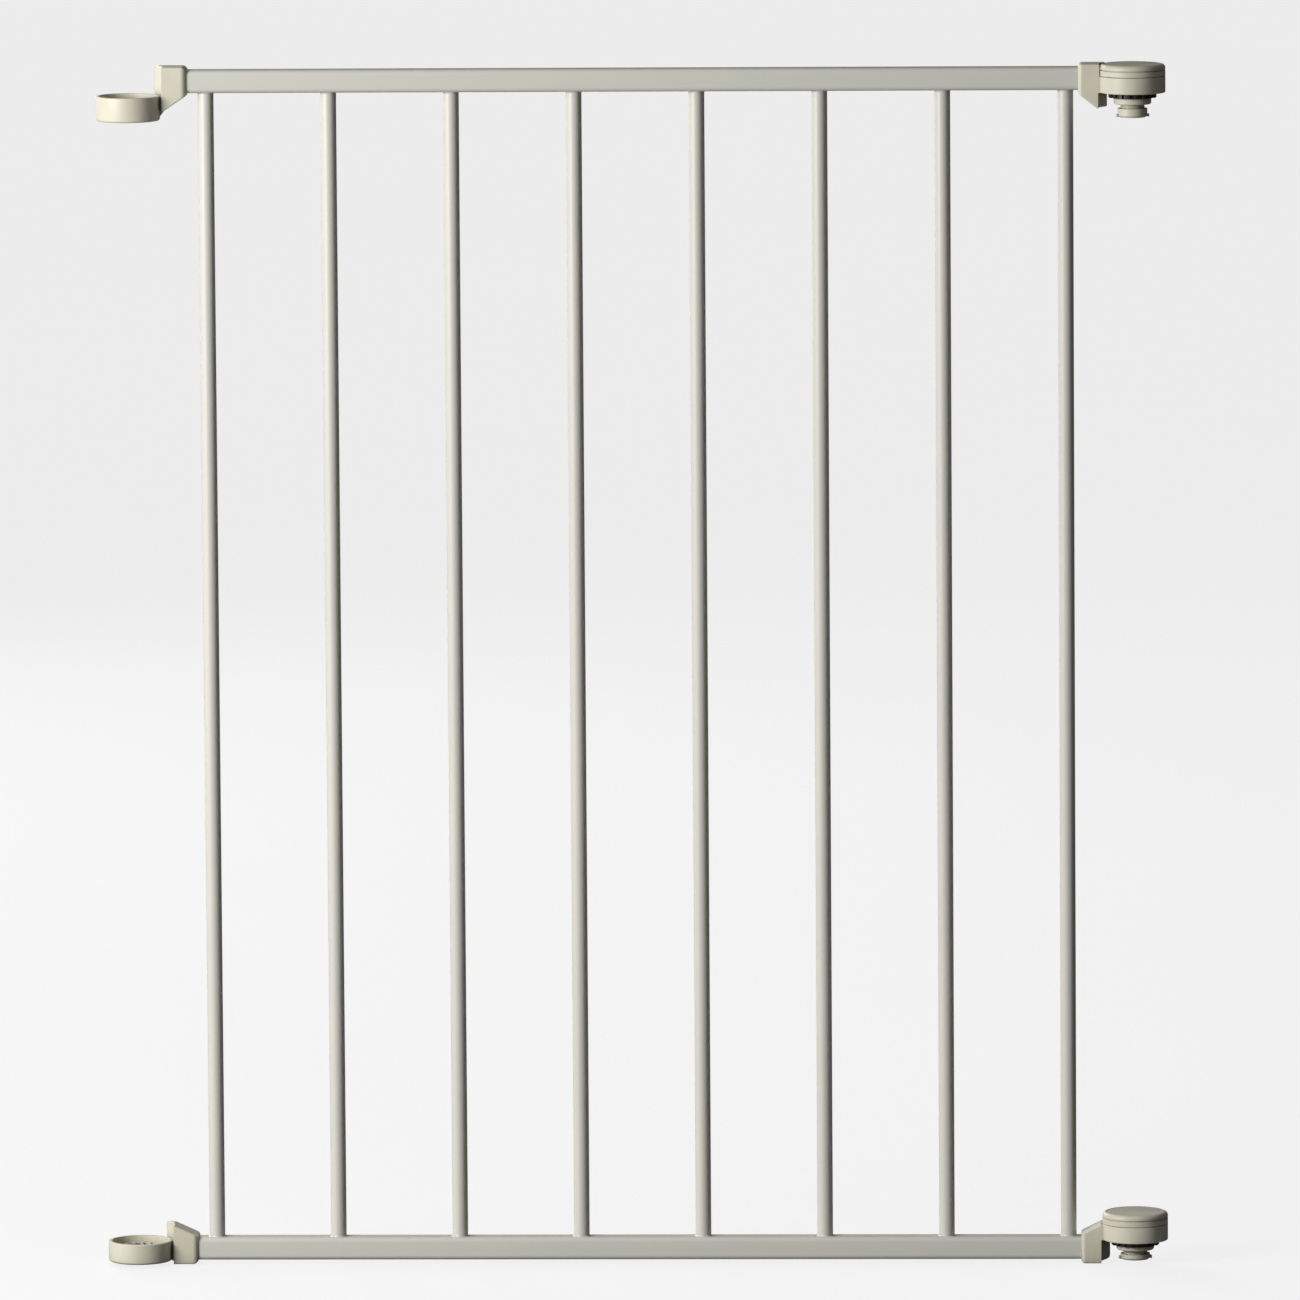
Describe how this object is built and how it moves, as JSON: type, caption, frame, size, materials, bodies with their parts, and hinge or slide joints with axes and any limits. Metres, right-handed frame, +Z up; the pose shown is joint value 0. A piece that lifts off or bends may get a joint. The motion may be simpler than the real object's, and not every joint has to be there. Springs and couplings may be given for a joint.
{
  "type": "safety gate section",
  "caption": "Barred steel section of a configurable child safety gate, with ring sockets on one side and turn-lock dials over bayonet spigots on the other.",
  "frame": {"origin": "on the left joint axis, in the middle of the lower socket's throat", "axes": "+X along the panel from the left joint axis to the right one, +Y to the rear, +Z up along the joint axes"},
  "size_m": [0.6495, 0.04, 0.7359],
  "materials": {
    "painted_steel": "satin off-white powder coat",
    "ivory_plastic": "fine-grained ivory moulding",
    "dial_plastic": "fine-grained ivory moulding",
    "dark_plastic": "black acetal",
    "zinc_steel": "bright zinc",
    "spring_steel": "drawn wire"
  },
  "bodies": {
    "panel": {"top_rail": "painted_steel", "bottom_rail": "painted_steel", "bar_1": "painted_steel", "bar_2": "painted_steel", "bar_3": "painted_steel", "bar_4": "painted_steel", "bar_5": "painted_steel", "bar_6": "painted_steel", "bar_7": "painted_steel", "bar_8": "painted_steel", "weld_beads": "painted_steel", "upper_socket": "ivory_plastic", "lower_socket": "ivory_plastic", "upper_housing": "ivory_plastic", "lower_housing": "ivory_plastic", "upper_spigot": "ivory_plastic", "lower_spigot": "ivory_plastic", "upper_return_spring": "spring_steel", "lower_return_spring": "spring_steel", "upper_dial_washer": "zinc_steel", "lower_dial_washer": "zinc_steel", "upper_spindle_screw": "zinc_steel", "lower_spindle_screw": "zinc_steel", "rail_screws": "zinc_steel"},
    "upper_dial": {"upper_lock_dial": "dial_plastic", "upper_dial_cap": "dial_plastic"},
    "lower_dial": {"lower_lock_dial": "dial_plastic", "lower_dial_cap": "dial_plastic"},
    "upper_ring": {"upper_lock_ring": "dark_plastic"},
    "lower_ring": {"lower_lock_ring": "dark_plastic"}
  },
  "joints": [
    {"name": "upper_dial_turn", "type": "hinge", "parent": "panel", "child": "upper_dial", "pos_m": [0.61, 0, 0.71355], "axis": [0, 0, -1], "range_deg": [0, 90]},
    {"name": "upper_ring_drop", "type": "slide", "parent": "panel", "child": "upper_ring", "axis": [0, 0, -1], "range_m": [0, 0.0035], "deforming": ["upper_return_spring"]},
    {"name": "lower_dial_turn", "type": "hinge", "parent": "panel", "child": "lower_dial", "pos_m": [0.61, 0, 0.00935], "axis": [0, 0, -1], "range_deg": [0, 90]},
    {"name": "lower_ring_drop", "type": "slide", "parent": "panel", "child": "lower_ring", "axis": [0, 0, -1], "range_m": [0, 0.0035], "deforming": ["lower_return_spring"]}
  ],
  "couplings": [
    {"joint": "upper_ring_drop", "follows": "upper_dial_turn", "m_per_rad": 0.002228},
    {"joint": "lower_ring_drop", "follows": "lower_dial_turn", "m_per_rad": 0.002228}
  ]
}
